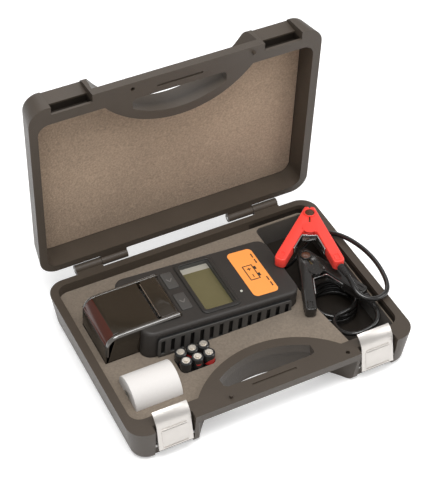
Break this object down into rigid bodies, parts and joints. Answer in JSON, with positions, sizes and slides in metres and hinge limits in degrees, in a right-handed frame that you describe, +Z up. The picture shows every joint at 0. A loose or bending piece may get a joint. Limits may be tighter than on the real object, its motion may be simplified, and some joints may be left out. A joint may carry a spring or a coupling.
{
  "type": "printing battery tester kit",
  "caption": "Handheld battery tester with built-in receipt printer and clamp leads, bedded in foam in an open moulded carry case.",
  "frame": {"origin": "centre of the case's flat bottom, on the surface it stands on", "axes": "+X to the right along the case width, +Y from the handle to the hinges, +Z up"},
  "size_m": [0.3742, 0.3063, 0.3193],
  "materials": {
    "case_plastic": "fine moulded grain",
    "foam": "closed-cell foam",
    "lid_foam": "dimpled foam sheet",
    "steel": "plain steel",
    "latch_metal": "satin silver",
    "tester_plastic": "fine grain",
    "gloss_black": "polished smoked",
    "rubber": "matte",
    "glass": "clear",
    "display": "olive reflective",
    "frame_grey": "satin",
    "key_grey": "satin",
    "lamp": "clear lens",
    "label": "printed film",
    "board": "solder mask",
    "paper": "smooth thermal paper",
    "core": "plain",
    "cell": "printed sleeve",
    "red": "satin",
    "black": "satin",
    "chrome": "polished",
    "brass": "plain",
    "lead": "smooth"
  },
  "bodies": {
    "case": {"base_shell": "case_plastic", "base_foam": "foam", "hinge_pins": "steel", "latch_pins": "steel", "tester_lower_housing": "tester_plastic", "tester_upper_housing": "tester_plastic", "battery_door": "tester_plastic", "label_plate": "label", "indicator_lamp": "lamp", "display_frame": "frame_grey", "display_glass": "glass", "display_module": "display", "key_mat": "rubber", "circuit_board": "board", "tester_cells": "cell", "printer_tub": "gloss_black", "cover_hinge_pin": "steel", "printer_bezel": "gloss_black", "print_head": "steel", "tear_bar": "steel", "printer_paper_roll": "paper", "side_grip_front": "rubber", "side_grip_back": "rubber", "tester_lead_boots": "rubber", "spare_paper_roll": "paper", "spare_roll_core": "core", "spare_cells": "cell", "black_clamp_fixed_arm": "black", "black_clamp_pin": "steel", "black_clamp_spring": "chrome", "black_contact_plate": "brass", "red_clamp_fixed_arm": "red", "red_clamp_pin": "steel", "red_clamp_spring": "chrome", "red_contact_plate": "brass", "black_lead_boot": "rubber", "red_lead_boot": "rubber", "black_lead": "lead", "black_lead_coil": "lead", "black_lead_tail": "lead", "red_lead": "lead"},
    "lid": {"lid_shell": "case_plastic", "lid_foam": "lid_foam"},
    "latch_left": {"latch_left": "latch_metal"},
    "latch_right": {"latch_right": "latch_metal"},
    "printer_cover": {"printer_cover": "gloss_black"},
    "platen": {"platen_roller": "rubber", "platen_shaft": "steel"},
    "key_front": {"key_front": "key_grey"},
    "key_back": {"key_back": "key_grey"},
    "red_clamp_arm": {"red_clamp_moving_arm": "red"},
    "black_clamp_arm": {"black_clamp_moving_arm": "black"}
  },
  "joints": [
    {"name": "lid_hinge", "type": "hinge", "parent": "case", "child": "lid", "pos_m": [0, 0.1395, 0.05], "axis": [-1, 0, 0], "range_deg": [-86, 0], "deforming": ["red_lead"]},
    {"name": "latch_left_hinge", "type": "hinge", "parent": "case", "child": "latch_left", "pos_m": [-0.129, -0.1245, 0.02], "axis": [1, 0, 0], "range_deg": [0, 80]},
    {"name": "latch_right_hinge", "type": "hinge", "parent": "case", "child": "latch_right", "pos_m": [0.129, -0.1245, 0.02], "axis": [1, 0, 0], "range_deg": [0, 80]},
    {"name": "printer_cover_hinge", "type": "hinge", "parent": "case", "child": "printer_cover", "pos_m": [-0.15469, 0.0305, 0.06429], "axis": [0, -1, 0], "range_deg": [0, 75]},
    {"name": "platen_spin", "type": "hinge", "parent": "printer_cover", "child": "platen", "pos_m": [-0.09366, 0.0305, 0.06841], "axis": [0, 1, 0], "continuous": true},
    {"name": "key_front_press", "type": "slide", "parent": "case", "child": "key_front", "axis": [-0.0802, 0, -0.9968], "range_m": [0, 0.001], "stiffness_N_per_m": 600},
    {"name": "key_back_press", "type": "slide", "parent": "case", "child": "key_back", "axis": [-0.0802, 0, -0.9968], "range_m": [0, 0.001], "stiffness_N_per_m": 600},
    {"name": "red_clamp_squeeze", "type": "hinge", "parent": "case", "child": "red_clamp_arm", "pos_m": [0.1396, 0.0573, 0.0669], "axis": [0, 0, 1], "range_deg": [0, 30], "stiffness_Nm_per_rad": 1.2, "deforming": ["red_clamp_spring"]},
    {"name": "black_clamp_squeeze", "type": "hinge", "parent": "case", "child": "black_clamp_arm", "pos_m": [0.1235, 0.0105, 0.0443], "axis": [0, 0, 1], "range_deg": [0, 30], "stiffness_Nm_per_rad": 1.2, "deforming": ["black_clamp_spring"]}
  ]
}
